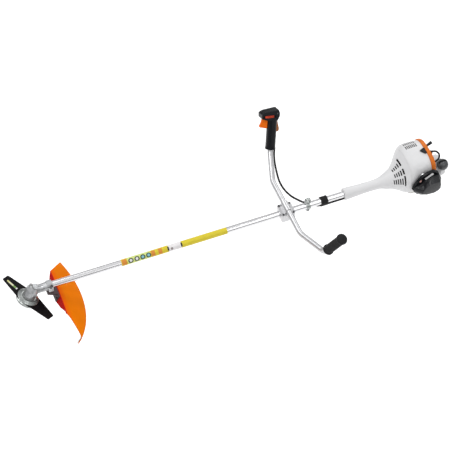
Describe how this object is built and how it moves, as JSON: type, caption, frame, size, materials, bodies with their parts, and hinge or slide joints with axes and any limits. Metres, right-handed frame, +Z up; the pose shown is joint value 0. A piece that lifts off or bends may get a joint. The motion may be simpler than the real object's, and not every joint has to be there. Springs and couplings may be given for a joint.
{
  "type": "brush cutter",
  "caption": "Petrol brush cutter: two-tooth blade on an angled gearhead with an orange deflector, long drive tube, bicycle handlebar and two-stroke engine.",
  "frame": {"origin": "centre of the hole in the carrying eyelet, 28 mm over the drive tube's axis", "axes": "+X along the drive tube towards the engine, +Z up, +Y to the operator's right (throttle side)"},
  "size_m": [1.7554, 0.6993, 0.372],
  "materials": {
    "cast_alloy": "sand-cast, satin",
    "steel": "machined",
    "bearing_steel": "ground",
    "blade_paint": "satin black paint",
    "dark_steel": "blackened",
    "bracket_alloy": "satin grey",
    "orange_plastic": "moulded",
    "red_plastic": "moulded",
    "brown_plastic": "moulded",
    "tube_alloy": "drawn, satin",
    "nylon": "moulded",
    "black_rubber": "moulded",
    "black_plastic": "fine texture",
    "white_plastic": "moulded",
    "ceramic": "glazed",
    "clear_rubber": "soft",
    "felt": "felt",
    "tank_plastic": "translucent",
    "rope_fibre": "braided"
  },
  "bodies": {
    "frame": {"gearbox_housing": "cast_alloy", "grease_plug": "steel", "gearbox_bearings": "bearing_steel", "deflector_bracket": "bracket_alloy", "deflector_shell": "orange_plastic", "line_knife": "steel", "drive_tube": "tube_alloy", "shaft_bushes": "nylon", "carrying_eyelet": "dark_steel", "cable_clip": "black_rubber", "clamp_screws": "dark_steel", "handlebar_seat": "tube_alloy", "handlebar_cap": "tube_alloy", "handlebar": "tube_alloy", "left_grip": "black_rubber", "control_shell_left": "black_plastic", "control_shell_right": "black_plastic", "hood_latches": "black_plastic", "throttle_cable": "black_rubber", "fan_housing": "white_plastic", "engine_hood": "white_plastic", "hood_band": "orange_plastic", "starter_housing": "white_plastic", "crankcase": "cast_alloy", "crank_bearings": "bearing_steel", "engine_cylinder": "cast_alloy", "spark_plug": "ceramic", "ignition_lead": "black_rubber", "ignition_coil": "black_plastic", "muffler": "dark_steel", "carburettor": "tube_alloy", "filter_housing": "black_plastic", "filter_element": "felt", "filter_cover": "black_plastic", "fuel_tank": "tank_plastic"},
    "cutter": {"crown_gear": "steel", "output_spindle": "steel", "thrust_plate": "steel", "blade": "blade_paint", "rider_plate": "steel", "collar_nut": "steel"},
    "shaft": {"pinion_gear": "steel", "drive_shaft": "steel", "clutch_drum": "steel"},
    "crank": {"crankshaft": "steel", "flywheel": "cast_alloy", "clutch_carrier": "cast_alloy"},
    "shoe_lower": {"clutch_shoe_lower": "dark_steel"},
    "shoe_upper": {"clutch_shoe_upper": "dark_steel"},
    "piston": {"piston": "tube_alloy"},
    "trigger": {"throttle_trigger": "orange_plastic"},
    "lock": {"lock_lever": "brown_plastic"},
    "stop_switch": {"stop_slide": "red_plastic"},
    "carb_lever": {"throttle_lever": "steel"},
    "choke": {"choke_lever": "white_plastic"},
    "primer": {"primer_bulb": "clear_rubber"},
    "cap": {"fuel_cap": "black_plastic"},
    "pull_grip": {"starter_grip": "black_plastic", "starter_rope": "rope_fibre"},
    "rope_pulley": {"starter_pulley": "nylon"}
  },
  "joints": [
    {"name": "blade_spin", "type": "hinge", "parent": "frame", "child": "cutter", "pos_m": [-1.1, 0, -0.028], "axis": [0.5, 0, 0.866], "continuous": true},
    {"name": "drive_shaft_spin", "type": "hinge", "parent": "frame", "child": "shaft", "pos_m": [0, 0, -0.028], "axis": [1, 0, 0], "continuous": true},
    {"name": "crank_spin", "type": "hinge", "parent": "frame", "child": "crank", "pos_m": [0, 0, -0.028], "axis": [1, 0, 0], "continuous": true},
    {"name": "clutch_shoe_lower_swing", "type": "hinge", "parent": "crank", "child": "shoe_lower", "pos_m": [0.359, 0.017, -0.028], "axis": [1, 0, 0], "range_deg": [0, 5], "stiffness_Nm_per_rad": 2},
    {"name": "clutch_shoe_upper_swing", "type": "hinge", "parent": "crank", "child": "shoe_upper", "pos_m": [0.359, -0.017, -0.028], "axis": [1, 0, 0], "range_deg": [0, 5], "stiffness_Nm_per_rad": 2},
    {"name": "piston_slide", "type": "slide", "parent": "frame", "child": "piston", "axis": [0, 0, 1], "range_m": [-0.03, 0]},
    {"name": "throttle_trigger_pull", "type": "hinge", "parent": "frame", "child": "trigger", "pos_m": [-0.0437, 0.32619, 0.16296], "axis": [0.0442, -0.915, 0.4011], "range_deg": [0, 12], "stiffness_Nm_per_rad": 0.4, "springref_deg": -5.73},
    {"name": "throttle_lever_turn", "type": "hinge", "parent": "frame", "child": "carb_lever", "pos_m": [0.448, -0.05, 0.044], "axis": [0, 0, 1], "range_deg": [0, 60]},
    {"name": "lock_lever_press", "type": "hinge", "parent": "frame", "child": "lock", "pos_m": [-0.00481, 0.3154, 0.13406], "axis": [-0.0442, 0.915, -0.4011], "range_deg": [0, 8], "stiffness_Nm_per_rad": 0.4, "springref_deg": -5.73},
    {"name": "stop_switch_slide", "type": "slide", "parent": "frame", "child": "stop_switch", "axis": [0.977, -0.0442, -0.2085], "range_m": [-0.008, 0.008]},
    {"name": "choke_turn", "type": "hinge", "parent": "frame", "child": "choke", "pos_m": [0.475, -0.09, 0.0545], "axis": [0, 1, 0], "range_deg": [0, 45]},
    {"name": "primer_press", "type": "slide", "parent": "frame", "child": "primer", "axis": [0, 1, 0], "range_m": [0, 0.0018], "stiffness_N_per_m": 600},
    {"name": "fuel_cap_turn", "type": "hinge", "parent": "frame", "child": "cap", "pos_m": [0.5, 0.06, -0.098], "axis": [0, 1, 0], "range_deg": [0, 120]},
    {"name": "starter_pull", "type": "slide", "parent": "frame", "child": "pull_grip", "axis": [0, 0, 1], "range_m": [0, 0.6], "stiffness_N_per_m": 8, "springref_m": -0.4, "deforming": ["starter_rope"]},
    {"name": "rope_pulley_turn", "type": "hinge", "parent": "frame", "child": "rope_pulley", "pos_m": [0.546, 0, -0.028], "axis": [1, 0, 0], "range_deg": [-1150, 0]}
  ],
  "couplings": [
    {"joint": "drive_shaft_spin", "follows": "blade_spin", "ratio": 1.4},
    {"joint": "throttle_lever_turn", "follows": "throttle_trigger_pull", "ratio": 5},
    {"joint": "rope_pulley_turn", "follows": "starter_pull", "rad_per_m": -33.333}
  ]
}
